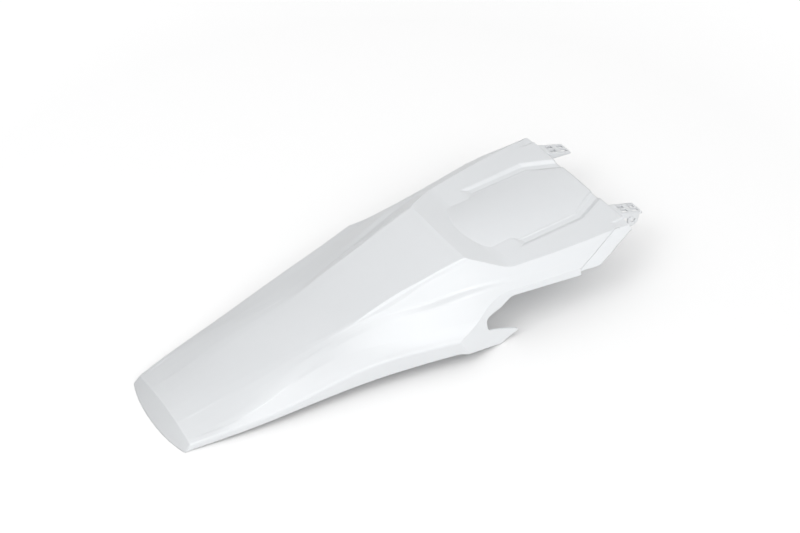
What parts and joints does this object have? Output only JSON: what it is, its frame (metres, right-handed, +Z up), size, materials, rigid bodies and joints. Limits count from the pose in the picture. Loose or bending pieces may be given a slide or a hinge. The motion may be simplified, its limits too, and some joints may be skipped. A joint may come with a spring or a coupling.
{
  "type": "motorcycle rear fender",
  "caption": "Long thin-walled moulded rear fender, open below, with a raised spine, a stepped seat end, hooked side cut-outs and slotted front tabs with bored ears.",
  "frame": {"origin": "middle of the footprint of the fender's bounding box, on the ground it lies on", "axes": "+X to the rider's right, +Y forward along the fender from the tail to the front tabs, +Z up"},
  "size_m": [0.2434, 0.6198, 0.0879],
  "materials": {
    "fender": "satin white, moulded in colour"
  },
  "bodies": {
    "root": {"rear_fender": "fender"}
  },
  "joints": []
}
